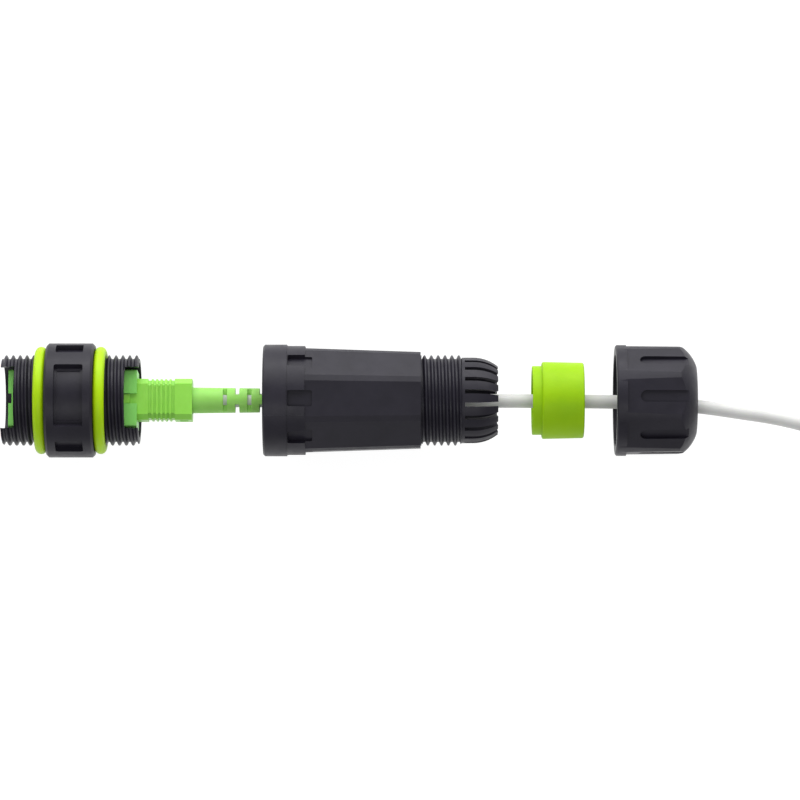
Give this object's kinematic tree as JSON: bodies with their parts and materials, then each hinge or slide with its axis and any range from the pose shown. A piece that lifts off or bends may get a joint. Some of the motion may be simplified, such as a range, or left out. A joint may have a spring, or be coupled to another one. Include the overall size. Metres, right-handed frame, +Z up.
{
  "type": "waterproof fibre coupler",
  "caption": "Threaded waterproof coupler for a fibre plug, shown as an exploded line with clamp sleeve, gland seal, gland nut and a lead in a tied hank.",
  "frame": {"origin": "on the common axis, at the end face of the coupler's bare left thread", "axes": "+X along the common axis from the bare thread towards the gland nut and the cable, +Y across, +Z up from the floor 12.5 mm below the axis"},
  "size_m": [0.3291, 0.0284, 0.025],
  "materials": {
    "black_nylon": "moulded nylon, satin",
    "o_ring_rubber": "smooth silicone rubber",
    "seal_rubber": "smooth silicone rubber",
    "adapter_green": "moulded, smooth",
    "plug_green": "moulded, smooth",
    "boot_green": "soft moulded rubber",
    "latch_white": "moulded, plain",
    "frame_white": "moulded, plain",
    "ceramic": "polished zirconia",
    "plated_metal": "nickel plated, turned",
    "spring_steel": "drawn wire",
    "buffer_plastic": "coated fibre",
    "cable_jacket": "low smoke jacket, smooth",
    "tie_black": "woven strap"
  },
  "bodies": {
    "coupler": {"coupler_body": "black_nylon", "o_ring_left": "o_ring_rubber", "o_ring_right": "o_ring_rubber", "adapter_shell_left": "adapter_green", "adapter_shell_right": "adapter_green", "latch_left": "latch_white", "latch_right": "latch_white", "alignment_sleeve": "ceramic"},
    "lead": {"plug_frame": "frame_white", "plug_spring": "spring_steel", "plug_stop_ring": "plated_metal", "plug_crimp_ring": "plated_metal", "plug_boot": "boot_green", "plug_fibre_buffer": "buffer_plastic", "cable_run": "cable_jacket", "cable_hank": "cable_jacket", "hank_tie_near": "tie_black", "hank_tie_far": "tie_black", "cable_tail": "cable_jacket", "far_frame": "frame_white", "far_spring": "spring_steel", "far_stop_ring": "plated_metal", "far_crimp_ring": "plated_metal", "far_boot": "boot_green", "far_fibre_buffer": "buffer_plastic"},
    "grip": {"plug_grip": "plug_green"},
    "ferrule": {"plug_ferrule": "ceramic", "plug_ferrule_flange": "plated_metal"},
    "far_grip": {"far_grip": "plug_green"},
    "far_ferrule": {"far_ferrule": "ceramic", "far_ferrule_flange": "plated_metal"},
    "sleeve": {"clamp_sleeve": "black_nylon"},
    "seal": {"gland_seal": "seal_rubber"},
    "nut": {"gland_nut": "black_nylon"}
  },
  "joints": [
    {"name": "plug_unplug", "type": "slide", "parent": "coupler", "child": "lead", "axis": [1, 0, 0], "range_m": [0, 0.016]},
    {"name": "grip_release", "type": "slide", "parent": "lead", "child": "grip", "axis": [1, 0, 0], "range_m": [0, 0.0013]},
    {"name": "ferrule_float", "type": "slide", "parent": "lead", "child": "ferrule", "axis": [1, 0, 0], "range_m": [0, 0.0008], "stiffness_N_per_m": 800, "deforming": ["plug_spring"]},
    {"name": "far_grip_release", "type": "slide", "parent": "lead", "child": "far_grip", "axis": [-1, 0, 0], "range_m": [0, 0.0013]},
    {"name": "far_ferrule_float", "type": "slide", "parent": "lead", "child": "far_ferrule", "axis": [-1, 0, 0], "range_m": [0, 0.0008], "stiffness_N_per_m": 800, "deforming": ["far_spring"]},
    {"name": "sleeve_slide", "type": "slide", "parent": "lead", "child": "sleeve", "axis": [-1, 0, 0], "range_m": [0, 0.0341]},
    {"name": "seal_slide", "type": "slide", "parent": "sleeve", "child": "seal", "axis": [-1, 0, 0], "range_m": [0, 0.0224], "deforming": ["gland_seal"]},
    {"name": "nut_slide", "type": "slide", "parent": "seal", "child": "nut", "axis": [-1, 0, 0], "range_m": [0, 0.0197]}
  ]
}
